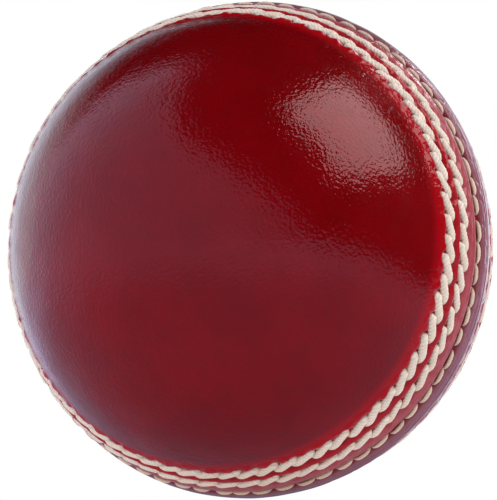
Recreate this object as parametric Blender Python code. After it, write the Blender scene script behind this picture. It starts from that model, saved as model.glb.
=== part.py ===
# Two-piece stitched cricket ball, in metres, +Z up, standing on its seam.
# The origin is the ball's centre and Y is the axis that the seam runs round.
# The front leather cup and its three stitch rows face -Y, the back ones +Y.

import math

import bpy
from mathutils import Vector

for old in list(bpy.data.objects):
    bpy.data.objects.remove(old, do_unlink=True)

# Leather cover
BODY_RADIUS = 0.0352           # leather face away from the seam
LEATHER_THICKNESS = 0.0040
LIP_HALF_WIDTH = 0.0015        # raised lip beside the join, on each cup
LIP_RISE = 0.0015              # crest of the lip above the body face
LIP_SHOULDER_DROP = 0.0002     # rounding of the lip at its outer edge
SHOULDER_WIDTH = 0.0040        # slope from the seam band down to the body face
INNER_LAND = 0.0024            # leather between the closing and middle rows
OUTER_LAND = 0.0010            # leather between the middle and outer rows
INNER_LAND_RISE = 0.00110
OUTER_LAND_RISE = 0.00070
SHOULDER_RISE = 0.00035

# Sewing thread and stitches
SIDE_THREAD = 0.0012           # diameter, middle and outer rows
CLOSING_THREAD = 0.0008        # diameter, closing row
STITCHES = 70                  # in each row
STITCH_SLANT = 0.00034         # sideways lean of a side stitch, each way
OUTER_ROW_TOP = 0.00075        # thread crowns above the body face
MIDDLE_ROW_TOP = 0.00115
CLOSING_ROW_TOP = 0.00125
CLOSING_DIP = 0.00030          # how far the closing thread sinks between dashes

# Wound centre, from the leather inwards
OUTER_WINDING = 0.0040         # thickness of each layer
OUTER_CORK = 0.0026
MIDDLE_WINDING = 0.0034
INNER_CORK = 0.0026
INNER_WINDING = 0.0034
CORK_STRIPS = 6                # in each cork layer
TUCK_HOLE = 0.0050             # opening in a winding where its end is tucked in
STRIP_END = 0.0060             # the strips stop this far from their layer's poles

# Fit and facets
CLEARANCE = 0.0003             # between pieces that touch on the real ball
CUP_SEGMENTS = 48              # round the seam axis
BODY_RINGS = 8                 # from the shoulder to the pole
LINING_RINGS = 7               # on the inside of a cup
QUILT_SEGMENTS = 18            # round a winding, a cork layer and the core
QUILT_RINGS = 9                # from pole to pole
SIDE_THREAD_SIDES = 5
CLOSING_THREAD_SIDES = 4
SHARP_ANGLE = math.radians(50)  # edges keener than this stay crisp

# Shares of a stitch
TAIL_AT = 0.25                 # where a side stitch ends, back from the next one's start
TAIL_SHARE = 0.65              # thickness at its end, of the thread
KNOT_SHARE = 0.55              # thickness of the closing thread between dashes


# Points and faces

def on_sphere(radius, polar, azimuth):
    ring = radius * math.sin(polar)
    return Vector((ring * math.cos(azimuth), ring * math.sin(azimuth), radius * math.cos(polar)))


def tangent_radius(radius, half_polar, half_azimuth):
    # Corner radius at which flat facets just touch a sphere of this radius from outside
    return radius / (math.cos(half_polar) * math.cos(half_azimuth))


def add_object(name, points, faces, material, parent):
    mesh = bpy.data.meshes.new(name)
    mesh.from_pydata([tuple(p) for p in points], [], faces)
    mesh.validate()
    mesh.materials.append(material)
    mesh.shade_smooth()
    mesh.set_sharp_from_angle(angle=SHARP_ANGLE)
    return add_copy(name, mesh, parent)


def add_copy(name, mesh, parent):
    piece = bpy.data.objects.new(name, mesh)
    bpy.context.collection.objects.link(piece)
    piece.parent = parent
    return piece


def turned(profile, segments):
    # Solid turned about Z from a closed run of (radius, height) points, anticlockwise seen with +X right.
    # A point on the axis becomes one shared corner.
    points = []
    rows = []
    for radius, height in profile:
        if radius == 0.0:
            points.append(Vector((0.0, 0.0, height)))
            rows.append([len(points) - 1] * segments)
            continue
        rows.append(list(range(len(points), len(points) + segments)))
        for step in range(segments):
            azimuth = math.tau * step / segments
            points.append(Vector((radius * math.cos(azimuth), radius * math.sin(azimuth), height)))
    faces = []
    for this, after in zip(rows, rows[1:] + rows[:1]):
        for step in range(segments):
            ahead = (step + 1) % segments
            corners = [this[step], this[ahead], after[ahead], after[step]]
            corners = [c for k, c in enumerate(corners) if c not in corners[:k]]
            if len(corners) > 2:
                faces.append(corners)
    return points, faces


def make_material(name, colour, roughness):
    material = bpy.data.materials.new(name)
    material.use_nodes = True
    shader = material.node_tree.nodes["Principled BSDF"]
    shader.inputs["Base Color"].default_value = (*colour, 1.0)
    shader.inputs["Roughness"].default_value = roughness
    shader.inputs["Metallic"].default_value = 0.0
    material.diffuse_color = (*colour, 1.0)
    return material


# Seam layout, as arcs along the body face from the join

def groove_half(thread, slant):
    return thread / 2 + slant + CLEARANCE


CLOSING_HALF = groove_half(CLOSING_THREAD, 0.0)
SIDE_HALF = groove_half(SIDE_THREAD, STITCH_SLANT)
CLOSING_ARC = LIP_HALF_WIDTH + CLOSING_HALF
MIDDLE_ARC = CLOSING_ARC + CLOSING_HALF + INNER_LAND + SIDE_HALF
OUTER_ARC = MIDDLE_ARC + SIDE_HALF + OUTER_LAND + SIDE_HALF
BAND_EDGE = OUTER_ARC + SIDE_HALF
SHOULDER_END = BAND_EDGE + SHOULDER_WIDTH


def seam_point(arc, rise):
    latitude = arc / BODY_RADIUS
    radius = BODY_RADIUS + rise
    return radius * math.cos(latitude), radius * math.sin(latitude)


def groove(arc, half, top, thread, outer_rise, inner_rise):
    # Four points across a row's groove, from its pole side to its join side
    floor = top - thread - CLEARANCE
    return [
        seam_point(arc + half, outer_rise),
        seam_point(arc + half - CLEARANCE / 2, floor),
        seam_point(arc - half + CLEARANCE / 2, floor),
        seam_point(arc - half, inner_rise),
    ]


def cup_profile():
    inside = BODY_RADIUS - LEATHER_THICKNESS
    half_step = math.pi / 4 / LINING_RINGS
    corner = tangent_radius(inside, half_step, math.pi / CUP_SEGMENTS)
    join = CLEARANCE / 2
    lining = [(corner, join)]
    for ring in range(1, LINING_RINGS):
        latitude = math.pi / 2 * ring / LINING_RINGS
        lining.append((corner * math.cos(latitude), corner * math.sin(latitude)))
    lining.append((0.0, corner))

    crest = BODY_RADIUS + LIP_RISE
    edge_rise = LIP_RISE - LIP_SHOULDER_DROP
    lip = [(crest, join), seam_point(LIP_HALF_WIDTH / 2, LIP_RISE)]
    band = groove(OUTER_ARC, SIDE_HALF, OUTER_ROW_TOP, SIDE_THREAD, SHOULDER_RISE, OUTER_LAND_RISE)
    band += groove(MIDDLE_ARC, SIDE_HALF, MIDDLE_ROW_TOP, SIDE_THREAD, OUTER_LAND_RISE, INNER_LAND_RISE)
    closing_top = CLOSING_ROW_TOP - CLOSING_DIP
    band += groove(CLOSING_ARC, CLOSING_HALF, closing_top, CLOSING_THREAD, INNER_LAND_RISE, edge_rise)
    shoulder = [
        seam_point(SHOULDER_END, 0.0),
        seam_point(BAND_EDGE + SHOULDER_WIDTH / 2, SHOULDER_RISE / 2),
    ]
    body = []
    for ring in range(1, BODY_RINGS + 1):
        latitude = math.pi / 2 - (math.pi / 2 - SHOULDER_END / BODY_RADIUS) * ring / (BODY_RINGS + 1)
        body.append((BODY_RADIUS * math.cos(latitude), BODY_RADIUS * math.sin(latitude)))
    outside = [(0.0, BODY_RADIUS)] + body + shoulder + band + lip[::-1]
    return (lining + outside)[::-1]


def stitch_ring(arc, top, thread, sides, rings):
    # One closed thread round the ball. Each ring of a stitch is
    # (share of the pitch, lean towards the pole, depth below the crown line, thickness).
    latitude = arc / BODY_RADIUS
    points = []
    for stitch in range(STITCHES):
        for share, lean, depth, thick in rings:
            azimuth = math.tau * (stitch + share) / STITCHES
            across = math.cos(azimuth), math.sin(azimuth)
            out = Vector((math.cos(latitude) * across[0], math.cos(latitude) * across[1], math.sin(latitude)))
            up = Vector((-math.sin(latitude) * across[0], -math.sin(latitude) * across[1], math.cos(latitude)))
            centre = out * (BODY_RADIUS + top - depth - thick / 2) + up * lean
            for side in range(sides):
                turn = math.tau * side / sides
                points.append(centre + (out * math.cos(turn) + up * math.sin(turn)) * (thick / 2))
    faces = []
    total = STITCHES * len(rings)
    for ring in range(total):
        start = ring * sides
        after = (ring + 1) % total * sides
        for side in range(sides):
            ahead = (side + 1) % sides
            faces.append([start + side, after + side, after + ahead, start + ahead])
    return points, faces


def winding_profile(inside, outside):
    # Wound shell that is open at its +Z pole, where the yarn's end is tucked in
    half_polar = math.pi / 2 / QUILT_RINGS
    corner = tangent_radius(inside, half_polar, math.pi / QUILT_SEGMENTS)
    mouth = TUCK_HOLE / 2 / outside
    run = []
    for radius, order in ((corner, range(QUILT_RINGS, -1, -1)), (outside, range(QUILT_RINGS + 1))):
        for ring in order:
            polar = mouth + (math.pi - mouth) * ring / QUILT_RINGS
            ring_radius = 0.0 if ring == QUILT_RINGS else radius * math.sin(polar)
            run.append((ring_radius, radius * math.cos(polar)))
    return run[::-1]


def cork_strip(inside, outside):
    # One gore of a cork layer, from near one pole to near the other, centred on +X
    columns = math.ceil(QUILT_SEGMENTS / CORK_STRIPS)
    half_polar = math.pi / 2 / QUILT_RINGS
    half_azimuth = math.pi / CORK_STRIPS / columns
    corner = tangent_radius(inside, half_polar, half_azimuth)
    first = STRIP_END / outside
    grid = {}
    points = []
    for layer, radius in enumerate((corner, outside)):
        for ring in range(QUILT_RINGS + 1):
            polar = first + (math.pi - 2 * first) * ring / QUILT_RINGS
            trim = CLEARANCE / 2 / (inside * math.sin(polar))
            for column in range(columns + 1):
                span = math.pi / CORK_STRIPS - trim
                grid[layer, ring, column] = len(points)
                points.append(on_sphere(radius, polar, span * (2 * column / columns - 1)))
    faces = []
    for ring in range(QUILT_RINGS):
        for column in range(columns):
            for layer in (0, 1):
                quad = [
                    grid[layer, ring, column],
                    grid[layer, ring + 1, column],
                    grid[layer, ring + 1, column + 1],
                    grid[layer, ring, column + 1],
                ]
                faces.append(quad if layer else quad[::-1])
    for ring in range(QUILT_RINGS):
        for column, turned_over in ((0, False), (columns, True)):
            quad = [
                grid[0, ring, column],
                grid[0, ring + 1, column],
                grid[1, ring + 1, column],
                grid[1, ring, column],
            ]
            faces.append(quad[::-1] if turned_over else quad)
    for column in range(columns):
        for ring, turned_over in ((0, True), (QUILT_RINGS, False)):
            quad = [
                grid[0, ring, column],
                grid[0, ring, column + 1],
                grid[1, ring, column + 1],
                grid[1, ring, column],
            ]
            faces.append(quad[::-1] if turned_over else quad)
    return points, faces


def core_profile(radius):
    run = [(0.0, -radius)]
    for ring in range(1, QUILT_RINGS):
        polar = math.pi - math.pi * ring / QUILT_RINGS
        run.append((radius * math.sin(polar), radius * math.cos(polar)))
    run.append((0.0, radius))
    return run


# Materials

LEATHER = make_material("red_leather", (0.26, 0.006, 0.010), 0.30)
SIDE_COTTON = make_material("cream_thread", (0.72, 0.66, 0.56), 0.75)
CLOSING_COTTON = make_material("tan_thread", (0.60, 0.48, 0.32), 0.75)
CORK = make_material("cork", (0.46, 0.29, 0.16), 0.90)
YARN = make_material("worsted_yarn", (0.66, 0.60, 0.50), 0.95)

# Every piece is made about Z, and the ball's centre turns the front pole from +Z to -Y
centre = bpy.data.objects.new("ball_centre", None)
bpy.context.collection.objects.link(centre)
centre.rotation_euler = (math.pi / 2, 0.0, 0.0)

# Cover and stitch rows: the back set is the front one turned over about X

TAIL_THICKNESS = SIDE_THREAD * TAIL_SHARE
SIDE_STITCH = (
    (0.0, -STITCH_SLANT, (SIDE_THREAD - TAIL_THICKNESS) / 2, TAIL_THICKNESS),
    (1.0 - TAIL_AT, STITCH_SLANT, 0.0, SIDE_THREAD),
)
KNOT_THICKNESS = CLOSING_THREAD * KNOT_SHARE
CLOSING_STITCH = (
    (0.0, 0.0, CLOSING_DIP + CLOSING_THREAD - KNOT_THICKNESS, KNOT_THICKNESS),
    (0.5, 0.0, 0.0, CLOSING_THREAD),
)
SEAM_PIECES = (
    ("leather_cup", turned(cup_profile(), CUP_SEGMENTS), LEATHER),
    ("outer_stitch_row", stitch_ring(OUTER_ARC, OUTER_ROW_TOP, SIDE_THREAD, SIDE_THREAD_SIDES, SIDE_STITCH),
     SIDE_COTTON),
    ("middle_stitch_row", stitch_ring(MIDDLE_ARC, MIDDLE_ROW_TOP, SIDE_THREAD, SIDE_THREAD_SIDES, SIDE_STITCH),
     SIDE_COTTON),
    ("closing_stitch_row",
     stitch_ring(CLOSING_ARC, CLOSING_ROW_TOP, CLOSING_THREAD, CLOSING_THREAD_SIDES, CLOSING_STITCH),
     CLOSING_COTTON),
)
for name, (points, faces), material in SEAM_PIECES:
    front = add_object("front_" + name, points, faces, material, centre)
    back = add_copy("back_" + name, front.data, centre)
    back.rotation_euler = (math.pi, 0.0, 0.0)

# Wound centre: each layer is laid across the one below it

layer_out = BODY_RADIUS - LEATHER_THICKNESS - CLEARANCE
LAYERS = (
    ("outer_winding", OUTER_WINDING, (0.0, 0.0, 0.0)),
    ("outer_cork_strip", OUTER_CORK, (math.pi / 2, 0.0, 0.0)),
    ("middle_winding", MIDDLE_WINDING, (0.0, math.pi / 2, 0.0)),
    ("inner_cork_strip", INNER_CORK, (0.0, 0.0, 0.0)),
    ("inner_winding", INNER_WINDING, (math.pi / 2, 0.0, 0.0)),
)
for name, thickness, lay in LAYERS:
    layer_in = layer_out - thickness
    if name.endswith("winding"):
        winding = turned(winding_profile(layer_in, layer_out), QUILT_SEGMENTS)
        piece = add_object(name, *winding, YARN, centre)
        piece.rotation_euler = lay
    else:
        turn = bpy.data.objects.new(name + "s_lay", None)
        bpy.context.collection.objects.link(turn)
        turn.parent = centre
        turn.rotation_euler = lay
        first = add_object(name + "_1", *cork_strip(layer_in, layer_out), CORK, turn)
        for copy in range(1, CORK_STRIPS):
            strip = add_copy(f"{name}_{copy + 1}", first.data, turn)
            strip.rotation_euler = (0.0, 0.0, math.tau * copy / CORK_STRIPS)
    layer_out = layer_in - CLEARANCE

add_object("cork_core", *turned(core_profile(layer_out), QUILT_SEGMENTS), CORK, centre)
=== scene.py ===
# Stitched leather cricket ball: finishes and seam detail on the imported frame, in a plain studio
import math
import bpy
import bmesh
import numpy as np
from mathutils import Matrix, Vector


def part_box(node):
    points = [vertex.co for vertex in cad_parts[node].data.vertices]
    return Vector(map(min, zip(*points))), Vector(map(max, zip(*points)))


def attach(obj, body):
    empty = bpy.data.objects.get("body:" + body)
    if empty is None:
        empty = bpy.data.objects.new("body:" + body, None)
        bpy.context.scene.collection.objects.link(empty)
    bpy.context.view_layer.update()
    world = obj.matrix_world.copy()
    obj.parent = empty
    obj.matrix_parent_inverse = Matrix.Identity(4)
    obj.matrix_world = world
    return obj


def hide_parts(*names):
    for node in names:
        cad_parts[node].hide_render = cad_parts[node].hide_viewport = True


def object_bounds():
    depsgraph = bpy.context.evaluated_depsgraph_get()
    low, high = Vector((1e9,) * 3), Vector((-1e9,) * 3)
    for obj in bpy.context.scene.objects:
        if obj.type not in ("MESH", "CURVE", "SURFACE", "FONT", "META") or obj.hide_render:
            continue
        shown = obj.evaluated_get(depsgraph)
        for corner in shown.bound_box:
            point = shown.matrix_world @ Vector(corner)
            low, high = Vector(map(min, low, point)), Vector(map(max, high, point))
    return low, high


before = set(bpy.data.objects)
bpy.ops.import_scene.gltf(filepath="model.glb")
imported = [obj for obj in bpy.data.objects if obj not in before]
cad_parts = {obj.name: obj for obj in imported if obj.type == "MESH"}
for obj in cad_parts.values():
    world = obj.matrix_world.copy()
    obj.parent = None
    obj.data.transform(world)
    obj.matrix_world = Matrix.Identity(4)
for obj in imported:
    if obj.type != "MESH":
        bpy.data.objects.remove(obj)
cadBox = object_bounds()
mm = 0.001
print("frame loaded:", len(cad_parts), "nodes")

ball = {
    "bodyRadius": -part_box("front_leather_cup")[0].y,  # leather face away from the seam
    "crestRadius": cadBox[1].x,  # top of the raised lip
    "liningRadius": 31.2 * mm,
    "stitches": 70,  # in each row
    "backLower": 0.16 * mm,  # how much deeper the rows of the back half lie
}
pitchAngle = math.tau / ball["stitches"]


def smooth(x):
    x = np.clip(x, 0.0, 1.0)
    return x * x * (3.0 - 2.0 * x)


def ripple(points, wavelength, seed, count=28):
    # smooth random field of about unit spread: a sum of plane waves
    draw = np.random.RandomState(seed)
    aim = draw.normal(size=(count, 3))
    aim /= np.linalg.norm(aim, axis=1)[:, None]
    length = wavelength * draw.uniform(0.7, 1.4, count)
    start = draw.uniform(0.0, math.tau, count)
    waves = np.sin(points @ (aim / length[:, None]).T * math.tau + start)
    return waves.sum(axis=1) / math.sqrt(count / 2)


def ramp(distance, edges):
    # 0 at the first edge and 1 at the second, which may be the nearer one
    return smooth((distance - edges[0]) / (edges[1] - edges[0]))


def hump(distance, width):
    return np.exp(-((distance / width) ** 2))


def wrapped(angle):
    # the same angle, from half a turn back to half a turn on
    return (angle + math.pi) % math.tau - math.pi


def onBall(lap, latitude, radius, side):
    # lap runs clockwise from +X, seen facing the cup's pole
    # side is 1 on the front cup and -1 on the back
    ring = radius * np.cos(latitude)
    x, y, z = ring * np.cos(lap), -side * radius * np.sin(latitude), -side * ring * np.sin(lap)
    return np.stack([x, y, z], axis=-1)


def makePiece(name, points, faces, material, node, marks):
    mesh = bpy.data.meshes.new(name)
    mesh.from_pydata(points.tolist(), [], faces)
    for mark, values in marks.items():
        kind, field = ("FLOAT", "value") if values.ndim == 1 else ("FLOAT_VECTOR", "vector")
        layer = mesh.attributes.new(mark, kind, "POINT")
        layer.data.foreach_set(field, values.astype(np.float32).ravel())
    shell = bmesh.new()
    shell.from_mesh(mesh)
    bmesh.ops.recalc_face_normals(shell, faces=shell.faces)
    shell.to_mesh(mesh)
    shell.free()
    mesh.shade_smooth()
    mesh.materials.append(material)
    piece = bpy.data.objects.new(name, mesh)
    bpy.context.scene.collection.objects.link(piece)
    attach(piece, "root")
    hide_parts(node)
    return piece


# node helpers

def newMaterial(name):
    material = bpy.data.materials.new(name)
    material.use_nodes = True
    nodes = material.node_tree.nodes
    return material, nodes, material.node_tree.links, nodes["Principled BSDF"]


def addNode(nodes, kind, **values):
    node = nodes.new(kind)
    for key, value in values.items():
        if key in node.inputs:
            node.inputs[key].default_value = value
        else:
            setattr(node, key, value)
    return node


def noiseNode(nodes, links, vector, scale, detail=4.0, roughness=0.55):
    noise = addNode(nodes, "ShaderNodeTexNoise")
    noise.inputs["Scale"].default_value = scale
    noise.inputs["Detail"].default_value = detail
    noise.inputs["Roughness"].default_value = roughness
    links.new(vector, noise.inputs["Vector"])
    return noise.outputs["Fac"]


def rangeNode(nodes, links, value, low, high, toLow=0.0, toHigh=1.0):
    remap = addNode(nodes, "ShaderNodeMapRange")
    remap.interpolation_type = "SMOOTHSTEP"
    for key, number in (("From Min", low), ("From Max", high), ("To Min", toLow), ("To Max", toHigh)):
        remap.inputs[key].default_value = number
    links.new(value, remap.inputs["Value"])
    return remap.outputs["Result"]


def mathNode(nodes, links, operation, *values):
    node = addNode(nodes, "ShaderNodeMath", operation=operation)
    for socket, value in zip(node.inputs, values):
        if isinstance(value, (int, float)):
            socket.default_value = value
        else:
            links.new(value, socket)
    return node.outputs["Value"]


def mixColour(nodes, links, share, first, second, blend="MIX"):
    mix = nodes.new("ShaderNodeMix")
    mix.data_type = "RGBA"
    mix.blend_type = blend
    links.new(share, mix.inputs["Factor"])
    for socket, value in ((mix.inputs[6], first), (mix.inputs[7], second)):
        if isinstance(value, tuple):
            socket.default_value = (*value, 1.0)
        else:
            links.new(value, socket)
    return mix.outputs[2]


def bumpNode(nodes, links, height, distance, strength, under=None):
    bump = addNode(nodes, "ShaderNodeBump")
    bump.inputs["Strength"].default_value = strength
    bump.inputs["Distance"].default_value = distance
    links.new(height, bump.inputs["Height"])
    if under is not None:
        links.new(under, bump.inputs["Normal"])
    return bump.outputs["Normal"]


def stretched(nodes, links, vector, scale):
    mapping = addNode(nodes, "ShaderNodeMapping")
    mapping.inputs["Scale"].default_value = scale
    links.new(vector, mapping.inputs["Vector"])
    return mapping.outputs["Vector"]


def markNode(nodes, name):
    return addNode(nodes, "ShaderNodeAttribute", attribute_name=name)


# stitch rows, shared by the leather that they sink into

# place along the stitch, side, length and strength of the dark hollows that the thread pulls open
sideHollows = ((0.58, 1, 0.70 * mm, 0.45), (0.40, -1, 0.60 * mm, 0.7))
endHollows = ((-0.03, 0, 0.24 * mm, 1.0), (1.03, 0, 0.24 * mm, 1.0))
stitchRows = {
    # shift moves a row towards the pole, crown is its top above the body face
    # bed is half the width of the groove that the thread lies in, in threads
    "outer": {
        "thread": 1.42 * mm, "slant": 0.80 * mm, "reach": 1.33, "phase": 0.00, "shift": -0.55 * mm,
        "crown": 0.68 * mm, "channel": 0.50 * mm, "pit": 0.50 * mm, "bed": 0.54, "hollows": sideHollows,
        "rings": 56, "sides": 20, "seed": 3,
    },
    "middle": {
        "thread": 1.25 * mm, "slant": 0.72 * mm, "reach": 1.31, "phase": 0.35, "shift": -0.46 * mm,
        "crown": 0.96 * mm, "channel": 0.48 * mm, "pit": 0.48 * mm, "bed": 0.54, "hollows": sideHollows,
        "rings": 56, "sides": 20, "seed": 4,
    },
    "closing": {
        "thread": 0.80 * mm, "slant": 0.13 * mm, "reach": 0.92, "phase": 0.10, "shift": 0.34 * mm,
        "crown": 1.36 * mm, "channel": 0.26 * mm, "pit": 0.40 * mm, "bed": 0.80, "hollows": endHollows,
        "rings": 24, "sides": 16, "seed": 5,
    },
}
stitchMark = {
    "tailFrom": 0.7,  # share of a stitch's length after which it presses less on the leather
    "tailEase": 0.3,
    "hollowAside": 0.70,  # in threads
    "hollowWidth": 0.36 * mm,
}
stitchWander = {"start": 0.045, "slant": 0.16, "reach": 0.05, "thread": 0.045, "crown": 0.045 * mm}


def planRow(name):
    # where each stitch of a row starts, and its own small departures from the pattern
    row = stitchRows[name]
    radius = ball["bodyRadius"]
    low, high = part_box("front_" + name + "_stitch_row")
    fromJoin = -(low.y + high.y) / 2
    row["arc"] = radius * math.atan2(fromJoin, high.x - row["thread"] / 2) + row["shift"]
    row["ring"] = radius * math.cos(row["arc"] / radius)
    row["pitch"] = pitchAngle * row["ring"]
    draw = np.random.RandomState(row["seed"])
    count = ball["stitches"]
    steps = np.arange(count) + row["phase"] + draw.normal(0, stitchWander["start"], count)
    row["starts"] = steps * pitchAngle
    row["slants"] = row["slant"] * (1 + draw.normal(0, stitchWander["slant"], count))
    row["reaches"] = row["pitch"] * (row["reach"] + draw.normal(0, stitchWander["reach"], count))
    row["threads"] = row["thread"] * (1 + draw.normal(0, stitchWander["thread"], count))
    row["crowns"] = row["crown"] + draw.normal(0, stitchWander["crown"], count)
    print(f"row {name}: {row['arc'] / mm:.2f} mm from the join, pitch {row['pitch'] / mm:.2f} mm")


for rowName in stitchRows:
    planRow(rowName)


# leather cups

cup = {
    "bandStep": 0.2 * mm,
    "bandEnd": 15.0 * mm,
    "fineBand": (1.6 * mm, 3.4 * mm),
    "bodyStep": 0.95 * mm,
    "joinGap": 0.04 * mm,  # half of the join's fine line
    "joinRound": 0.04 * mm,  # how far the edge at the join is rounded off
    "joinEdge": (0.30 * mm, 0.02 * mm),
    "shoulderEnd": 14.6 * mm,
    "shoulderRise": 0.34 * mm,  # leather beside the outer row, above the body face
    "stripRise": 0.46 * mm,  # between the outer and middle rows
    "bandRise": 0.99 * mm,  # between the middle and closing rows
    "lipEdge": 2.14 * mm,  # foot of the raised lip beside the closing row
    "lipTop": 1.90 * mm,
    "profileBlur": 0.16 * mm,
    "pucker": 0.08 * mm,  # beside the outer row, once for each stitch
    "puckerPlace": 1.5 * mm,
    "puckerWidth": 0.65 * mm,
    "puckerPhase": 0.35,
    "puckerMix": (0.45, 0.55),  # steady share and share that beats with the stitches
    "swell": 0.24 * mm,  # between the outer and middle rows
    "swellWidth": 0.75 * mm,
    "creases": (0.75, 1.35, 3.45, 4.15, 4.80),  # mm from the join
    "creaseDepth": 0.06 * mm,
    "creaseWidth": 0.15 * mm,
    "creaseWander": 0.13 * mm,
    "pleatDepth": 0.07 * mm,
    "pleatWidth": 0.26 * mm,
    "pleatLean": 0.5,
    "pleatFrom": (0.5 * mm, 1.4 * mm),
    "pleatTo": (0.2 * mm, -0.3 * mm),  # from the closing row
    "flankPlace": 1.8 * mm,  # crumpled leather, from the outer row
    "flankWidth": 0.75 * mm,
    "flankCrumple": 0.058 * mm,
    "sewnCrumple": 0.020 * mm,  # between the rows
    "sewnFrom": (3.2 * mm, 4.0 * mm),
    "sewnTo": (1.5 * mm, 0.5 * mm),  # from the outer row
    "cracklePlace": 1.9 * mm,
    "crackleWidth": 0.70 * mm,
    "sewnCrackle": 0.35,
    "lumps": 0.012 * mm,
    "redFrom": (1.9 * mm, 2.4 * mm),  # brighter red across the seam
    "redTo": (-0.6 * mm, -3.6 * mm),  # from the band's end
    "lipTo": (0.0, -0.3 * mm),  # from the lip's foot
    "paleReflectionFrom": (2.7 * mm, 3.2 * mm),  # paler, purplish leather: painted reflection
    "paleReflectionTo": (0.2 * mm, -0.8 * mm),  # from the middle row
    "stripReflection": 0.16,
    "stripReflectionTo": (-0.4 * mm, -1.0 * mm),  # from the outer row
    "seeds": {1: 100, -1: 200},  # of the front and back cups
    "faceCorners": ((12.0, 840), (6.0, 420), (2.5, 140), (-1.0, 70)),  # beyond these degrees from the pole
    "liningCorners": ((4.0, 105), (0.0, 35), (-1.0, 1)),
    "liningRings": (0.0, 2.0, 6.0, 14.0, 26.0, 40.0, 55.0, 70.0, 80.0, 86.0),
    "liningEdgeCorners": 210,
}


def seamProfile(arc):
    # rise of the bare leather across the seam, before any thread presses into it
    outer, middle = stitchRows["outer"]["arc"], stitchRows["middle"]["arc"]
    crest = ball["crestRadius"] - ball["bodyRadius"]
    knots = (
        (0.0, crest),
        (0.6 * mm, crest - 0.03 * mm),
        (1.3 * mm, crest - 0.12 * mm),
        (cup["lipTop"], crest - 0.25 * mm),
        (cup["lipEdge"], cup["bandRise"] - 0.16 * mm),
        (3.1 * mm, cup["bandRise"] - 0.16 * mm),
        (3.6 * mm, cup["bandRise"]),
        (middle - 1.0 * mm, cup["bandRise"] - 0.19 * mm),
        (middle + 0.9 * mm, cup["stripRise"]),
        (outer - 0.9 * mm, cup["stripRise"] - 0.10 * mm),
        (outer + 0.9 * mm, cup["shoulderRise"]),
        (outer + 1.6 * mm, cup["shoulderRise"] * 0.74),
        (outer + 2.5 * mm, cup["shoulderRise"] * 0.38),
        (outer + 3.4 * mm, cup["shoulderRise"] * 0.13),
        (outer + 4.3 * mm, cup["shoulderRise"] * 0.02),
        (cup["shoulderEnd"], 0.0),
        (cup["shoulderEnd"] + 4 * mm, 0.0),
    )
    places, rises = zip(*knots)
    spread = np.linspace(-1, 1, 13)
    weights = 1.0 - spread ** 2
    shifts = cup["profileBlur"] * spread
    total = 0.0
    for weight, shift in zip(weights, shifts):
        total = total + weight * np.interp(np.abs(arc + shift), places, rises)
    return total / weights.sum()


def rowPrint(row, lap, arc):
    # how deep a row presses into the leather at each point, and how near one of its holes is
    press = np.zeros_like(lap)
    hole = np.zeros_like(lap)
    across = arc - row["arc"]
    nearest = np.floor((lap - row["phase"] * pitchAngle) / pitchAngle).astype(int)
    for offset in (-1, 0, 1):
        pick = (nearest + offset) % ball["stitches"]
        along = wrapped(lap - row["starts"][pick]) * row["ring"]
        reach = row["reaches"][pick]
        slant = row["slants"][pick]
        share = np.clip(along / reach, 0.0, 1.0)
        past = np.maximum(np.maximum(-along, along - reach), 0.0)
        gap = np.hypot(across - slant * np.cos(math.pi * share), past)
        half = row["bed"] * row["threads"][pick]
        tail = smooth((share - stitchMark["tailFrom"]) / (1.0 - stitchMark["tailFrom"]))
        press = np.maximum(press, np.exp(-((gap / half) ** 4)) * (1.0 - stitchMark["tailEase"] * tail))
        for place, way, length, strength in row["hollows"]:
            middle = slant * math.cos(math.pi * place) + way * stitchMark["hollowAside"] * row["thread"]
            nearAlong = hump(along - place * reach, length)
            nearAcross = hump(across - middle, stitchMark["hollowWidth"])
            hole = np.maximum(hole, strength * nearAlong * nearAcross)
    return press, hole


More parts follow.
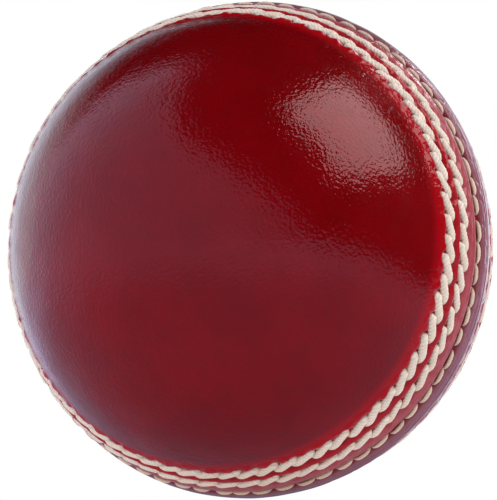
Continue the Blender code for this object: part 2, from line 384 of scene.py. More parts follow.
def leatherRise(lap, arc, points, seed):
    # height of the leather above the plain body sphere, and the marks that its finish reads
    outer, middle, closing = (stitchRows[name] for name in ("outer", "middle", "closing"))
    rise = seamProfile(arc)
    rise -= cup["joinRound"] * ramp(arc, cup["joinEdge"]) ** 2

    # leather swells between the rows, and puckers beside the outer one
    beat = np.cos((lap / pitchAngle - outer["phase"] - cup["puckerPhase"]) * math.tau)
    pucker = hump(arc - outer["arc"] - cup["puckerPlace"], cup["puckerWidth"])
    rise += cup["pucker"] * pucker * (cup["puckerMix"][0] + cup["puckerMix"][1] * beat)
    rise += cup["swell"] * hump(arc - (outer["arc"] + middle["arc"]) / 2, cup["swellWidth"])

    # creases along the lip and the band between the middle and closing rows
    crease = np.zeros_like(arc)
    for number, place in enumerate(cup["creases"]):
        wander = cup["creaseWander"] * ripple(points, 11 * mm, seed + 20 + number)
        strength = smooth(0.75 + 0.45 * ripple(points, 7 * mm, seed + 30 + number))
        crease += strength * hump(arc - place * mm - wander, cup["creaseWidth"])
    rise -= cup["creaseDepth"] * crease

    # pleats that the closing thread pulls across the lip
    pick = np.round((lap - closing["starts"][0]) / pitchAngle).astype(int) % ball["stitches"]
    lean = cup["pleatLean"] * (closing["arc"] - arc)
    aside = wrapped(lap - closing["starts"][pick]) * closing["ring"] - lean
    onLip = ramp(arc, cup["pleatFrom"]) * ramp(arc - closing["arc"], cup["pleatTo"])
    pleat = onLip * hump(aside, cup["pleatWidth"])
    rise -= cup["pleatDepth"] * pleat

    # the rows press into the leather and pull hollows open
    press = np.zeros_like(arc)
    hole = np.zeros_like(arc)
    for row in (outer, middle, closing):
        rowPress, rowHole = rowPrint(row, lap, arc)
        rise -= row["channel"] * rowPress + row["pit"] * rowHole
        press = np.maximum(press, rowPress)
        hole = np.maximum(hole, rowHole)

    # crumpled leather beside the outer row and between the rows, and faint lumps all over
    sewn = ramp(arc, cup["sewnFrom"]) * ramp(arc - outer["arc"], cup["sewnTo"])
    flank = hump(arc - outer["arc"] - cup["flankPlace"], cup["flankWidth"])
    crumple = 0.6 * ripple(points, 0.9 * mm, seed + 40) + ripple(points, 1.7 * mm, seed + 41)
    rise += crumple * (cup["flankCrumple"] * flank + cup["sewnCrumple"] * sewn)
    rise += cup["lumps"] * (ripple(points, 7 * mm, seed + 42) + 0.5 * ripple(points, 3.2 * mm, seed + 43))

    # where the finish is finely crackled or brighter red, and where painted reflections lie: paler between
    # the rows, mauve on the lip
    crackle = hump(arc - outer["arc"] - cup["cracklePlace"], cup["crackleWidth"])
    crackle = np.maximum(crackle, cup["sewnCrackle"] * sewn)
    seam = ramp(arc, cup["redFrom"]) * ramp(arc - cup["bandEnd"], cup["redTo"])
    lip = ramp(arc - cup["lipEdge"], cup["lipTo"])
    paleReflection = ramp(arc, cup["paleReflectionFrom"]) * ramp(arc - middle["arc"], cup["paleReflectionTo"])
    paleReflection = np.maximum(paleReflection, cup["stripReflection"] * ramp(arc - outer["arc"], cup["stripReflectionTo"]))
    creased = np.clip(crease + 0.8 * pleat, 0, 1)
    return rise, {"hole": hole, "press": press, "crease": creased, "crackle": crackle, "seam": seam,
                  "paleReflection": paleReflection, "lip": lip}


def bridge(first, second):
    # faces between two rings of corners, where one ring has a whole number of times the other's
    if len(second) > len(first):
        return [face[::-1] for face in bridge(second, first)]
    if len(second) == 1:
        return [[first[i], first[(i + 1) % len(first)], second[0]] for i in range(len(first))]
    times = len(first) // len(second)
    faces = []
    for i in range(len(second)):
        here, there = second[i], second[(i + 1) % len(second)]
        fine = [first[(i * times + k) % len(first)] for k in range(times + 1)]
        if times == 1:
            faces.append([fine[0], fine[1], there, here])
            continue
        half = times // 2
        faces += [[fine[k], fine[k + 1], here] for k in range(half)]
        faces.append([fine[half], there, here])
        faces += [[fine[k], fine[k + 1], there] for k in range(half, times)]
    return faces


def cornersAt(polar, counts):
    # small rings round a pole have fewer corners
    return next(corners for beyond, corners in counts if polar > beyond)


def makeCup(side, material):
    name = "front" if side == 1 else "back"
    radius = ball["bodyRadius"]
    quarter = radius * math.pi / 2
    bodySteps = round((quarter - cup["bandEnd"]) / cup["bodyStep"])
    fineFrom, fineTo = cup["fineBand"]  # closer rings at the lip's edge and the closing row
    arcs = np.concatenate([
        np.arange(cup["joinGap"], fineFrom, cup["bandStep"]),
        np.arange(fineFrom, fineTo, cup["bandStep"] / 2),
        np.arange(fineTo, cup["bandEnd"], cup["bandStep"]),
        np.linspace(cup["bandEnd"], quarter, bodySteps + 1)[:-1],
    ])
    rings = []
    for polar in cup["liningRings"]:
        rings.append(("lining", math.radians(90 - polar), cornersAt(polar, cup["liningCorners"])))
    rings.append(("lining", math.asin(cup["joinGap"] / ball["liningRadius"]), cup["liningEdgeCorners"]))
    for arc in arcs:
        polar = math.degrees((quarter - arc) / radius)
        rings.append(("face", arc, cornersAt(polar, cup["faceCorners"])))
    rings.append(("face", quarter, 1))

    kinds, laps, heights, rows = [], [], [], []
    for kind, height, corners in rings:
        rows.append(list(range(len(laps), len(laps) + corners)))
        kinds += [kind == "face"] * corners
        laps += [math.tau * i / corners for i in range(corners)]
        heights += [height] * corners
    onFace, lap, height = np.array(kinds), np.array(laps), np.array(heights)
    latitude = np.where(onFace, height / radius, height)
    plain = onBall(lap, latitude, np.where(onFace, radius, ball["liningRadius"]), side)
    rise, marks = leatherRise(lap, np.where(onFace, height, quarter), plain, cup["seeds"][side])
    points = plain * (1.0 + np.where(onFace, rise / radius, 0.0))[:, None]
    faces = [face for here, there in zip(rows, rows[1:]) for face in bridge(here, there)]
    marks["inside"] = (~onFace).astype(float)
    node = name + "_leather_cup"
    piece = makePiece(name + "_cup_leather", points, faces, material, node, marks)
    print(piece.name, len(points), "corners")


# sewn thread

thread = {
    "plies": 3,
    "lay": 1.45 * mm,  # length of one twist
    "groove": 0.14,
    "wide": 1.06,
    "high": 0.90,
    "turnSpread": 40.0,  # each stitch starts at another turn of the twist
    "crowding": 0.06,  # closer rings at the ends of a stitch
    "tuckDepth": 0.55 * mm,  # depth at which the thread is fully darkened
    "underside": 0.55,
}
sideShape = {
    "head": 0.13,  # share of the length
    "headDrop": 0.95 * mm,
    "headThick": 0.72,
    "tail": 0.62,  # where the tail begins
    "tailDrop": 0.80 * mm,
    "tailThin": 0.40,
    "belly": 0.05 * mm,
}
closingShape = {"drop": 0.62 * mm, "thin": 0.80}


def sideStitch(share):
    # depth below the crown and share of the thickness along a stitch with a round head and a tucked tail
    form = sideShape
    head = np.clip((form["head"] - share) / form["head"], 0.0, 1.0)
    dome = np.sqrt(1.0 - 0.995 * head ** 2)
    tail = np.clip((share - form["tail"]) / (1.0 - form["tail"]), 0.0, 1.0)
    depth = form["headDrop"] * (1.0 - dome) + form["tailDrop"] * tail ** 2.2
    depth = depth - form["belly"] * np.sin(math.pi * share)
    headThick = form["headThick"] + (1.0 - form["headThick"]) * dome
    return depth, headThick * (1.0 - form["tailThin"] * tail ** 1.6)


def closingStitch(share):
    # a lens-shaped dash that dives at both ends
    bow = np.abs(2.0 * share - 1.0)
    return closingShape["drop"] * bow ** 3, np.sqrt(1.0 - closingShape["thin"] * bow ** 2.4)


def makeRow(name, side, material):
    row = stitchRows[name]
    half = "front" if side == 1 else "back"
    count, rings, sides = ball["stitches"], row["rings"], row["sides"]
    share = np.linspace(0.0, 1.0, rings)
    share = share - thread["crowding"] * np.sin(math.tau * share)
    depth, thick = (closingStitch if name == "closing" else sideStitch)(share)
    along = row["reaches"][:, None] * share
    lap = row["starts"][:, None] + along / row["ring"]
    latitude = (row["arc"] + row["slants"][:, None] * np.cos(math.pi * share)) / ball["bodyRadius"]
    radius = row["threads"][:, None] * thick / 2
    crown = row["crowns"][:, None] - (ball["backLower"] if side == -1 else 0.0)
    centre = onBall(lap, latitude, ball["bodyRadius"] + crown - depth - radius, side)

    ahead = np.gradient(centre, axis=1)
    ahead /= np.linalg.norm(ahead, axis=2)[:, :, None]
    out = centre / np.linalg.norm(centre, axis=2)[:, :, None]
    across = np.cross(ahead, out)
    across /= np.linalg.norm(across, axis=2)[:, :, None]
    out = np.cross(across, ahead)

    turn = np.linspace(0.0, math.tau, sides, endpoint=False)
    twist = along / thread["lay"] * math.tau + np.linspace(0, thread["turnSpread"], count)[:, None]
    ply = turn[None, None, :] - twist[:, :, None]
    lobe = 1.0 - thread["groove"] * (1.0 - np.abs(np.cos(ply * thread["plies"] / 2)) ** 0.7)
    size = radius[:, :, None] * lobe
    up = (size * np.cos(turn) * thread["high"])[..., None] * out[:, :, None, :]
    over = (size * np.sin(turn) * thread["wide"])[..., None] * across[:, :, None, :]
    skin = centre[:, :, None, :] + up + over

    # marks that the finish reads: place in the thread, how far it is tucked in, the grooves between
    # its plies, and each stitch's own shade
    lengthwise = np.broadcast_to(along[:, :, None], size.shape)
    lay = np.stack([lengthwise, size * np.cos(ply), size * np.sin(ply)], axis=-1)
    tuck = np.clip(depth / thread["tuckDepth"], 0, 1)[None, :, None]
    tuck = tuck + thread["underside"] * (1 - np.cos(turn)) ** 1.5
    groove = 1.0 - np.abs(np.cos(ply * thread["plies"] / 2))
    lot = np.random.RandomState(row["seed"] + 50).rand(count)
    marks = {
        "lay": lay.reshape(-1, 3) / mm,
        "tuck": np.broadcast_to(tuck, size.shape).ravel(),
        "groove": groove.ravel(),
        "lot": np.broadcast_to(lot[:, None, None], size.shape).ravel(),
    }
    points = skin.reshape(-1, 3)
    faces = []
    for stitch in range(count):
        base = stitch * rings * sides
        for ring in range(rings - 1):
            here, there = base + ring * sides, base + (ring + 1) * sides
            for i in range(sides):
                k = (i + 1) % sides
                faces.append([here + i, here + k, there + k, there + i])
        faces.append([base + i for i in range(sides)])
        last = base + (rings - 1) * sides
        faces.append([last + i for i in reversed(range(sides))])
    node = half + "_" + name + "_stitch_row"
    piece = makePiece(half + "_" + name + "_stitches", points, faces, material, node, marks)
    print(piece.name, len(points), "corners")


# finishes

leatherFinish = {
    "deep": (0.166, 0.0008, 0.0022),
    "bright": (0.194, 0.0011, 0.0031),
    "seam": (0.46, 0.0026, 0.0075),
    # paler, purplish tone between the rows: painted reflection
    "paleReflection": (0.42, 0.085, 0.100),
    # mauve tone on the lip: painted reflection
    "lip": (0.27, 0.088, 0.112),
    "shadow": (0.035, 0.0005, 0.001),
    "flesh": (0.33, 0.20, 0.12),
    "glaze": (1.0, 0.06, 0.09),  # tint of the broad gloss under the clear coat
    "roughness": 0.17,
    "roughMottle": 0.10,
    "specular": 0.28,
    "coat": 0.75,
    "coatRoughness": 0.03,
    "coatIor": 1.45,
    "pores": 0.030 * mm,
    "crackle": 0.115 * mm,
    "peel": 0.066 * mm,
    "scuff": 0.006 * mm,
}


def makeLeather():
    look = leatherFinish
    material, nodes, links, shader = newMaterial("polished_red_leather")
    place = addNode(nodes, "ShaderNodeTexCoord").outputs["Object"]
    cloud = rangeNode(nodes, links, noiseNode(nodes, links, place, 75.0, 3.0), 0.36, 0.64)
    mottle = rangeNode(nodes, links, noiseNode(nodes, links, place, 420.0, 5.0), 0.38, 0.66)
    seam = markNode(nodes, "seam").outputs["Fac"]
    hole = markNode(nodes, "hole").outputs["Fac"]
    press = markNode(nodes, "press").outputs["Fac"]
    crease = markNode(nodes, "crease").outputs["Fac"]
    inside = markNode(nodes, "inside").outputs["Fac"]

    tone = mixColour(nodes, links, cloud, look["deep"], look["bright"])
    tone = mixColour(nodes, links, mathNode(nodes, links, "MULTIPLY", mottle, 0.08), tone, look["shadow"])
    tone = mixColour(nodes, links, mathNode(nodes, links, "MULTIPLY", seam, 0.75), tone, look["seam"])
    # paler, purplish tone between the rows: painted reflection
    patches = rangeNode(nodes, links, noiseNode(nodes, links, place, 650.0, 3.0), 0.3, 0.65, 0.72, 1.0)
    wearAndReflection = mathNode(nodes, links, "MULTIPLY", markNode(nodes, "paleReflection").outputs["Fac"], patches)
    tone = mixColour(nodes, links, wearAndReflection, tone, look["paleReflection"])
    # mauve tone on the lip: painted reflection
    tone = mixColour(nodes, links, markNode(nodes, "lip").outputs["Fac"], tone, look["lip"])
    dark = mathNode(nodes, links, "MAXIMUM", mathNode(nodes, links, "MULTIPLY", hole, 1.15),
                    mathNode(nodes, links, "MULTIPLY", press, 0.55))
    dark = mathNode(nodes, links, "MAXIMUM", dark, mathNode(nodes, links, "MULTIPLY", crease, 0.35))
    tone = mixColour(nodes, links, rangeNode(nodes, links, dark, 0.05, 1.0), tone, look["shadow"])
    tone = mixColour(nodes, links, inside, tone, look["flesh"])
    links.new(tone, shader.inputs["Base Color"])

    rough = mathNode(nodes, links, "MULTIPLY_ADD", mottle, look["roughMottle"], look["roughness"])
    links.new(rough, shader.inputs["Roughness"])
    shader.inputs["Specular IOR Level"].default_value = look["specular"]
    shader.inputs["Specular Tint"].default_value = (*look["glaze"], 1.0)
    shader.inputs["Coat Weight"].default_value = look["coat"]
    shader.inputs["Coat Roughness"].default_value = look["coatRoughness"]
    shader.inputs["Coat IOR"].default_value = look["coatIor"]

    peel = noiseNode(nodes, links, place, 2000.0, 1.0, 0.5)
    pores = noiseNode(nodes, links, place, 520.0, 3.0, 0.5)
    scuffed = stretched(nodes, links, place, (260.0, 2600.0, 700.0))
    scuff = rangeNode(nodes, links, noiseNode(nodes, links, scuffed, 1.0, 2.0, 0.5), 0.66, 0.78)
    crackle = mathNode(nodes, links, "MULTIPLY", noiseNode(nodes, links, place, 1150.0, 2.0, 0.55),
                       markNode(nodes, "crackle").outputs["Fac"])
    normal = bumpNode(nodes, links, pores, look["pores"], 1.0)
    normal = bumpNode(nodes, links, crackle, look["crackle"], 1.0, normal)
    normal = bumpNode(nodes, links, peel, look["peel"], 1.0, normal)
    normal = bumpNode(nodes, links, scuff, look["scuff"], 0.8, normal)
    links.new(normal, shader.inputs["Normal"])
    links.new(normal, shader.inputs["Coat Normal"])
    return material


threadFinish = {
    # crevice colour: painted shade in the grooves between the plies
    "side": {"pale": (0.95, 0.83, 0.69), "dull": (0.82, 0.64, 0.51), "creviceShade": (0.58, 0.39, 0.29),
             "tuckedDark": (0.42, 0.12, 0.09)},
    "closing": {"pale": (0.86, 0.68, 0.52), "dull": (0.62, 0.42, 0.29), "creviceShade": (0.46, 0.28, 0.18),
                "tuckedDark": (0.38, 0.11, 0.07)},
    "specular": 0.18,
    "sheen": 0.08,
    "fibre": 0.10 * mm,
}


def makeThread(name, look):
    material, nodes, links, shader = newMaterial(name)
    lay = markNode(nodes, "lay").outputs["Vector"]
    tuck = markNode(nodes, "tuck").outputs["Fac"]
    groove = markNode(nodes, "groove").outputs["Fac"]
    lot = markNode(nodes, "lot").outputs["Fac"]
    fibre = noiseNode(nodes, links, stretched(nodes, links, lay, (0.9, 9.0, 9.0)), 1.0, 4.0, 0.6)
    slub = noiseNode(nodes, links, stretched(nodes, links, lay, (0.8, 0.6, 0.6)), 1.0, 2.0, 0.5)

    wearAndReflection = mathNode(nodes, links, "MULTIPLY", rangeNode(nodes, links, fibre, 0.35, 0.7), 0.45)
    wearAndReflection = mathNode(nodes, links, "ADD", wearAndReflection, mathNode(nodes, links, "MULTIPLY", lot, 0.25))
    tone = mixColour(nodes, links, wearAndReflection, look["pale"], look["dull"])
    # painted shade in the grooves between the plies
    shade = rangeNode(nodes, links, groove, 0.25, 1.0, 0.0, 0.40)
    tone = mixColour(nodes, links, shade, tone, look["creviceShade"])
    # darker and redder where the thread dives into the leather and on its underside
    tuckedDark = mathNode(nodes, links, "MULTIPLY", rangeNode(nodes, links, tuck, 0.25, 1.25),
                     rangeNode(nodes, links, slub, 0.25, 0.7, 0.45, 1.0))
    tone = mixColour(nodes, links, tuckedDark, tone, look["tuckedDark"])
    links.new(tone, shader.inputs["Base Color"])
    links.new(rangeNode(nodes, links, fibre, 0.3, 0.7, 0.62, 0.88), shader.inputs["Roughness"])
    shader.inputs["Specular IOR Level"].default_value = threadFinish["specular"]
    shader.inputs["Sheen Weight"].default_value = threadFinish["sheen"]
    shader.inputs["Sheen Roughness"].default_value = 0.5
    links.new(bumpNode(nodes, links, fibre, threadFinish["fibre"], 0.8), shader.inputs["Normal"])
    return material


corkFinish = {
    "crumb": (0.52, 0.33, 0.18),
    "gap": (0.24, 0.13, 0.06),
    "fleck": (0.12, 0.06, 0.03),
    "cells": 620.0,
    "relief": 0.15 * mm,
}


def makeCork():
    look = corkFinish
    material, nodes, links, shader = newMaterial("pressed_cork")
    place = addNode(nodes, "ShaderNodeTexCoord").outputs["Object"]
    cells = addNode(nodes, "ShaderNodeTexVoronoi")
    cells.inputs["Scale"].default_value = look["cells"]
    links.new(place, cells.inputs["Vector"])
    grain = noiseNode(nodes, links, place, 1500.0, 4.0)
    crumb = rangeNode(nodes, links, cells.outputs["Distance"], 0.1, 0.75)
    tone = mixColour(nodes, links, crumb, look["crumb"], look["gap"])
    tone = mixColour(nodes, links, rangeNode(nodes, links, grain, 0.55, 0.75), tone, look["fleck"])
    links.new(tone, shader.inputs["Base Color"])
    links.new(rangeNode(nodes, links, grain, 0.3, 0.7, 0.75, 0.95), shader.inputs["Roughness"])
    links.new(bumpNode(nodes, links, crumb, look["relief"], 0.8), shader.inputs["Normal"])
    return material


yarnFinish = {
    # darker in the hollows between the turns: painted shade
    "hollowShade": (0.42, 0.36, 0.28),
    "turn": (0.74, 0.68, 0.57),
    "fluff": (0.34, 0.28, 0.21),
    "turns": 260.0,
    "sheen": 0.3,
    "relief": 0.30 * mm,
}


def makeYarn():
    look = yarnFinish
    material, nodes, links, shader = newMaterial("wound_worsted_yarn")
    place = addNode(nodes, "ShaderNodeTexCoord").outputs["Object"]
    turns = addNode(nodes, "ShaderNodeTexWave", wave_type="BANDS", bands_direction="DIAGONAL")
    turns.inputs["Scale"].default_value = look["turns"]
    turns.inputs["Distortion"].default_value = 3.0
    turns.inputs["Detail Scale"].default_value = 0.6
    links.new(place, turns.inputs["Vector"])
    wool = noiseNode(nodes, links, place, 2200.0, 4.0)
    # darker in the hollows between the turns: painted shade
    tone = mixColour(nodes, links, turns.outputs["Fac"], look["hollowShade"], look["turn"])
    fluff = rangeNode(nodes, links, wool, 0.5, 0.75, 0.0, 0.4)
    tone = mixColour(nodes, links, fluff, tone, look["fluff"])
    links.new(tone, shader.inputs["Base Color"])
    links.new(rangeNode(nodes, links, wool, 0.3, 0.7, 0.8, 1.0), shader.inputs["Roughness"])
    shader.inputs["Sheen Weight"].default_value = look["sheen"]
    links.new(bumpNode(nodes, links, turns.outputs["Fac"], look["relief"], 0.8), shader.inputs["Normal"])
    return material


leather = makeLeather()
sideThread = makeThread("waxed_cream_thread", threadFinish["side"])
closingThread = makeThread("waxed_tan_thread", threadFinish["closing"])
cork = makeCork()
yarn = makeYarn()
print("finishes made")

for side in (1, -1):
    makeCup(side, leather)
    makeRow("outer", side, sideThread)
    makeRow("middle", side, sideThread)
    makeRow("closing", side, closingThread)

for nodeName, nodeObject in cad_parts.items():
    if "cork" in nodeName or "winding" in nodeName:
        for materialSlot in nodeObject.material_slots:
            materialSlot.material = cork if "cork" in nodeName else yarn
print("ball dressed")


# studio

view = {
    "azimuth": 19.1,  # degrees round from the front, towards +X
    "elevation": -5.9,
    "distance": 1.2,
    "crestPixels": 249.3,  # radius of the seam's crest in the picture
    "centre": (250.2, 249.5),  # the ball's centre in the picture
    "frame": (497, 500),
    "sensor": 36.0,
}


def viewAxes():
    turn, lift = math.radians(view["azimuth"]), math.radians(view["elevation"])
    right = Vector((math.cos(turn), math.sin(turn), 0.0))
    back = Vector((math.sin(turn) * math.cos(lift), -math.cos(turn) * math.cos(lift), math.sin(lift)))
    return right, back.cross(right), back


rightWay, upWay, backWay = viewAxes()


def makeCamera():
    lensData = bpy.data.cameras.new("camera")
    wide, tall = view["frame"]
    pixelSize = ball["crestRadius"] / view["crestPixels"]
    lensData.sensor_width = view["sensor"]
    lensData.lens = view["sensor"] * view["distance"] / (pixelSize * max(wide, tall))
    lensData.clip_start = 0.05
    lensData.clip_end = 20.0
    lensData.shift_x = -(view["centre"][0] - wide / 2) / max(wide, tall)
    lensData.shift_y = (view["centre"][1] - tall / 2) / max(wide, tall)
    camera = bpy.data.objects.new("camera", lensData)
    bpy.context.scene.collection.objects.link(camera)
    place = Matrix((rightWay, upWay, backWay)).transposed().to_4x4()
    place.translation = backWay * view["distance"]
    camera.matrix_world = place
    bpy.context.scene.camera = camera


softboxes = {
    # direction in the view's right, up and towards-camera axes, distance, size, radiance and tint
    "key_box": {"aim": (0.63, 0.755, 0.19), "away": 0.60, "size": (0.42, 0.42), "glow": 3.1,
                "tint": (1.0, 0.98, 0.98), "glossy": True},
    "front_fill": {"aim": (-0.10, 0.03, 0.99), "away": 1.00, "size": (1.30, 0.60), "glow": 0.40,
                   "tint": (1.0, 1.0, 1.0), "glossy": False},
    "left_fill": {"aim": (-0.95, -0.02, 0.31), "away": 0.70, "size": (0.70, 0.50), "glow": 2.4,
                  "tint": (1.0, 1.0, 1.0), "glossy": False},
    "right_fill": {"aim": (0.82, 0.54, 0.08), "away": 0.80, "size": (0.60, 0.80), "glow": 1.5,
                   "tint": (1.0, 1.0, 1.0), "glossy": False},
    "rim_box": {"aim": (0.60, 0.17, -0.78), "away": 0.90, "size": (0.48, 0.50), "glow": 0.88,
                "tint": (0.90, 0.95, 1.12), "glossy": True},
    "glint_box": {"aim": (0.490, 0.575, -0.655), "away": 0.90, "size": (0.16, 0.16), "glow": 6.0,
                  "tint": (1.0, 0.98, 1.0), "glossy": True, "diffuse": False},
}


def makeSoftbox(name, box):
    way = (rightWay * box["aim"][0] + upWay * box["aim"][1] + backWay * box["aim"][2]).normalized()
    lampData = bpy.data.lights.new(name, "AREA")
    lampData.shape = "RECTANGLE"
    lampData.size, lampData.size_y = box["size"]
    lampData.energy = box["glow"] * math.pi * box["size"][0] * box["size"][1]
    lampData.color = box["tint"]
    lamp = bpy.data.objects.new(name, lampData)
    bpy.context.scene.collection.objects.link(lamp)
    lamp.location = way * box["away"]
    lamp.rotation_mode = "QUATERNION"
    lamp.rotation_quaternion = way.to_track_quat("Z", "Y")
    lamp.visible_camera = False
    lamp.visible_glossy = box["glossy"]
    lamp.visible_diffuse = box.get("diffuse", True)


stage = {
    "floorReach": 3.0,
    "floorTone": (0.48, 0.50, 0.54),
    "floorGlow": 0.14,
    "floorBounce": 0.40,  # further glow that only lights the ball's underside
    "floorSheen": (0.22, 0.15, 0.30),  # what the leather mirrors of it: close by, beside the ball, far off; dim close by, a painted shadow of the ball
    "floorBeside": (0.018, 0.06),  # distances over which the second and the third of these set in
    "floorFar": (0.05, 0.25),
    "floorCentre": 8 * mm,  # the dim patch, a painted shadow of the ball, lies this far behind the ball's centre
    "floorTint": (0.95, 0.93, 1.32),
    "wallAway": 1.9,
    "wallHeight": 2.0,
    "wallGlow": 0.88,  # what the leather mirrors of it near the floor
    "wallFade": (0.3, 1.55),  # heights between which that fades away
    "wallSpread": (44.0, 62.0),  # degrees to the right and to the left of straight behind the ball
    "wallTone": (0.80, 0.80, 0.82),
    "wallTint": (0.88, 0.93, 1.08),
    "worldGlow": 0.20,
    "worldTint": (0.9, 0.95, 1.0),
}


def plainPaper(name, tone, glow, isWall):
    material, nodes, links, shader = newMaterial(name)
    place = addNode(nodes, "ShaderNodeTexCoord").outputs["Object"]
    tooth = noiseNode(nodes, links, place, 30.0, 3.0)
    shade = mixColour(nodes, links, tooth, tuple(0.985 * part for part in tone), tone)
    links.new(shade, shader.inputs["Base Color"])
    shader.inputs["Roughness"].default_value = 0.9
    shader.inputs["Specular IOR Level"].default_value = 0.1
    shader.inputs["Emission Color"].default_value = (1.0, 1.0, 1.0, 1.0)
    shader.inputs["Emission Strength"].default_value = glow
    rays = addNode(nodes, "ShaderNodeLightPath").outputs
    seen = mathNode(nodes, links, "MAXIMUM", rays["Is Glossy Ray"], rays["Is Transmission Ray"])
    white = addNode(nodes, "ShaderNodeEmission")
    if isWall:
        seen = mathNode(nodes, links, "MAXIMUM", seen, rays["Is Camera Ray"])
        height = addNode(nodes, "ShaderNodeSeparateXYZ")
        links.new(place, height.inputs[0])
        fade = rangeNode(nodes, links, height.outputs["Z"], *stage["wallFade"], stage["wallGlow"], 0.0)
        links.new(mathNode(nodes, links, "MAXIMUM", rays["Is Camera Ray"], fade), white.inputs["Strength"])
        tint = mixColour(nodes, links, rays["Is Camera Ray"], stage["wallTint"], (1.0, 1.0, 1.0))
        links.new(tint, white.inputs["Color"])
    else:
        bounce = mathNode(nodes, links, "MULTIPLY_ADD", rays["Is Diffuse Ray"], stage["floorBounce"], glow)
        links.new(bounce, shader.inputs["Emission Strength"])
        shifted = addNode(nodes, "ShaderNodeVectorMath", operation="ADD")
        links.new(place, shifted.inputs[0])
        behind = backWay * stage["floorCentre"]
        shifted.inputs[1].default_value = (behind.x, behind.y, -cadBox[0].z)
        reach = addNode(nodes, "ShaderNodeVectorMath", operation="LENGTH")
        links.new(shifted.outputs[0], reach.inputs[0])
        away = reach.outputs["Value"]
        # what the leather mirrors of the floor: dim near the ball, a painted shadow of it
        near, beside, far = stage["floorSheen"]
        closeSheen = rangeNode(nodes, links, away, *stage["floorBeside"], near, near + beside)
        farSheen = rangeNode(nodes, links, away, *stage["floorFar"], 0.0, far)
        links.new(mathNode(nodes, links, "ADD", closeSheen, farSheen), white.inputs["Strength"])
        white.inputs["Color"].default_value = (*stage["floorTint"], 1.0)
    front = nodes.new("ShaderNodeMixShader")
    links.new(seen, front.inputs[0])
    links.new(shader.outputs["BSDF"], front.inputs[1])
    links.new(white.outputs[0], front.inputs[2])
    # the photo's view comes from just under the table's level, so the far side lets it through
    clear = addNode(nodes, "ShaderNodeBsdfTransparent")
    facing = addNode(nodes, "ShaderNodeNewGeometry").outputs["Backfacing"]
    both = nodes.new("ShaderNodeMixShader")
    links.new(facing, both.inputs[0])
    links.new(front.outputs[0], both.inputs[1])
    links.new(clear.outputs[0], both.inputs[2])
    links.new(both.outputs[0], nodes["Material Output"].inputs["Surface"])
    return material


def addStage(name, points, faces, material):
    mesh = bpy.data.meshes.new(name)
    mesh.from_pydata(points, [], faces)
    mesh.materials.append(material)
    sheet = bpy.data.objects.new(name, mesh)
    bpy.context.scene.collection.objects.link(sheet)
    return sheet


def makeStage():
    level = cadBox[0].z
    steps, reach = 96, stage["floorReach"]
    turns = [math.tau * i / steps for i in range(steps)]
    floor = [(reach * math.cos(turn), reach * math.sin(turn), level) for turn in turns]
    floorPaper = plainPaper("pale_floor", stage["floorTone"], stage["floorGlow"], False)
    addStage("floor", floor, [list(range(steps))], floorPaper)

    middle = math.atan2(-backWay.y, -backWay.x)
    toRight, toLeft = (math.radians(spread) for spread in stage["wallSpread"])
    columns = 48
    wall, panels = [], []
    for i in range(columns + 1):
        angle = middle - toRight + (toRight + toLeft) * i / columns
        for height in (level, level + stage["wallHeight"]):
            wall.append((stage["wallAway"] * math.cos(angle), stage["wallAway"] * math.sin(angle), height))
        if i:
            panels.append([2 * i - 2, 2 * i - 1, 2 * i + 1, 2 * i])
    wallPaper = plainPaper("white_backdrop", stage["wallTone"], 0.0, True)
    addStage("backdrop", wall, panels, wallPaper)


softCard = {
    # pale sheet bent round the ball's left and front; turns run to the right from the camera, in degrees
    "away": 1.30,
    "turns": (-128, -102, -60, -25, 0, 19, 28),
    "tops": (75, 73, 61, 44, 30, 12, 3),
    "glows": (0.85, 0.70, 0.66, 0.60, 0.50, 0.34, 0.15),
    "softFrom": 0.84,  # share of its height from which it fades
    "tint": (0.86, 0.94, 1.30),
}
darkFlag = {
    # dark sheet that only the leather's reflections see: a painted dark reflection, which keeps the far
    # floor out of the ball's right side
    "away": 0.115,
    "turns": (22, 44, 80, 100, 112),
    "lows": (-1.0, -4.4, -14.7, -16.5, -15.5),
    "soft": 4.0,
    "top": 12.0,
    "ends": (12.0, 10.0),  # degrees over which its two ends fade
    "tone": (0.004, 0.004, 0.004),
}


def bentSheet(name, away, turns, lows, highs, fades, material):
    # turns has a value in degrees for each column, lows and highs one for each column and row
    turns, lows, highs = np.radians(turns), np.radians(lows), np.radians(highs)
    columns, rows = lows.shape
    flatBack = rightWay.cross(Vector((0, 0, 1)))
    points, faces = [], []
    for i in range(columns):
        way = rightWay * math.sin(turns[i]) + flatBack * math.cos(turns[i])
        for k in range(rows):
            lift = lows[i, k] + (highs[i, k] - lows[i, k]) * k / (rows - 1)
            points.append(way * away + Vector((0, 0, away * math.tan(lift))))
    for i in range(columns - 1):
        for k in range(rows - 1):
            here = i * rows + k
            faces.append([here + 1, here + rows + 1, here + rows, here])
    sheet = addStage(name, points, faces, material)
    layer = sheet.data.attributes.new("fade", "FLOAT", "POINT")
    layer.data.foreach_set("value", fades.astype(np.float32).ravel())
    sheet.visible_camera = False
    return sheet


def cardMaterial(name, tint):
    material, nodes, links, shader = newMaterial(name)
    fade = markNode(nodes, "fade").outputs["Fac"]
    clear = addNode(nodes, "ShaderNodeBsdfTransparent")
    both = nodes.new("ShaderNodeMixShader")
    if tint:
        glow = addNode(nodes, "ShaderNodeEmission")
        glow.inputs["Color"].default_value = (*tint, 1.0)
        links.new(fade, glow.inputs["Strength"])
        facing = addNode(nodes, "ShaderNodeNewGeometry").outputs["Backfacing"]
        links.new(facing, both.inputs[0])
        links.new(glow.outputs[0], both.inputs[1])
        links.new(clear.outputs[0], both.inputs[2])
    else:
        shader.inputs["Base Color"].default_value = (*darkFlag["tone"], 1.0)
        shader.inputs["Specular IOR Level"].default_value = 0.0
        links.new(fade, both.inputs[0])
        links.new(clear.outputs[0], both.inputs[1])
        links.new(shader.outputs[0], both.inputs[2])
    links.new(both.outputs[0], nodes["Material Output"].inputs["Surface"])
    return material


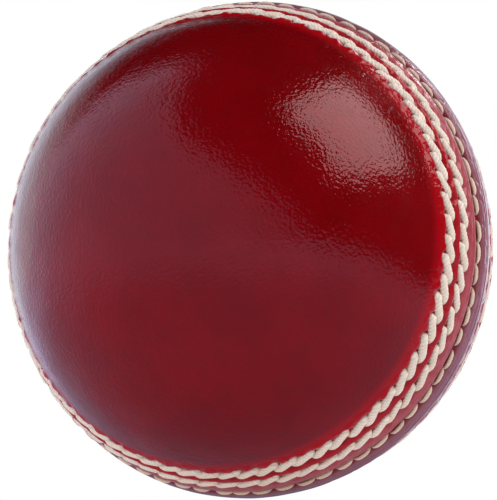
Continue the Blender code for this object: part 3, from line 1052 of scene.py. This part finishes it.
def makeCards():
    columns, rows = 72, 20
    share = np.linspace(0, 1, rows)[None, :]
    sheet = np.zeros((columns, rows))
    turn = np.linspace(softCard["turns"][0], softCard["turns"][-1], columns)
    low = sheet + math.degrees(math.atan2(cadBox[0].z, softCard["away"]))
    top = sheet + np.interp(turn, softCard["turns"], softCard["tops"])[:, None]
    glow = np.interp(turn, softCard["turns"], softCard["glows"])[:, None]
    glow = glow * (1 - ramp(share, (softCard["softFrom"], 1.0)))
    paper = cardMaterial("glowing_card", softCard["tint"])
    bentSheet("soft_card", softCard["away"], turn, low, top, glow, paper)

    first, last = darkFlag["turns"][0], darkFlag["turns"][-1]
    turn = np.linspace(first, last, columns)
    low = sheet + np.interp(turn, darkFlag["turns"], darkFlag["lows"])[:, None] - darkFlag["soft"]
    lowest = math.degrees(math.atan2(cadBox[0].z * 0.99, darkFlag["away"]))  # just above the floor
    low = np.maximum(low, lowest)
    top = sheet + darkFlag["top"]
    ends = smooth((turn - first) / darkFlag["ends"][0]) * smooth((last - turn) / darkFlag["ends"][1])
    fade = smooth(share * (top - low) / (2 * darkFlag["soft"])) * ends[:, None]
    cloth = cardMaterial("black_flag", None)
    flag = bentSheet("dark_flag", darkFlag["away"], turn, low, top, fade, cloth)
    # only reflections see it: a painted dark reflection on the ball's right side
    flag.visible_diffuse = False
    flag.visible_shadow = False
    flag.visible_transmission = False


def makeWorld():
    world = bpy.data.worlds.new("dim_studio")
    world.use_nodes = True
    nodes, links = world.node_tree.nodes, world.node_tree.links
    background = nodes["Background"]
    background.inputs["Color"].default_value = (*stage["worldTint"], 1.0)
    rays = addNode(nodes, "ShaderNodeLightPath").outputs
    glow = stage["worldGlow"]  # the leather does not mirror it
    strength = mathNode(nodes, links, "MULTIPLY_ADD", rays["Is Glossy Ray"], -glow, glow)
    links.new(strength, background.inputs["Strength"])
    bpy.context.scene.world = world


makeCamera()
for boxName, boxSettings in softboxes.items():
    makeSoftbox(boxName, boxSettings)
makeStage()
makeCards()
makeWorld()
bpy.context.scene.view_settings.view_transform = "Standard"
print("studio set")

bpy.context.view_layer.update()
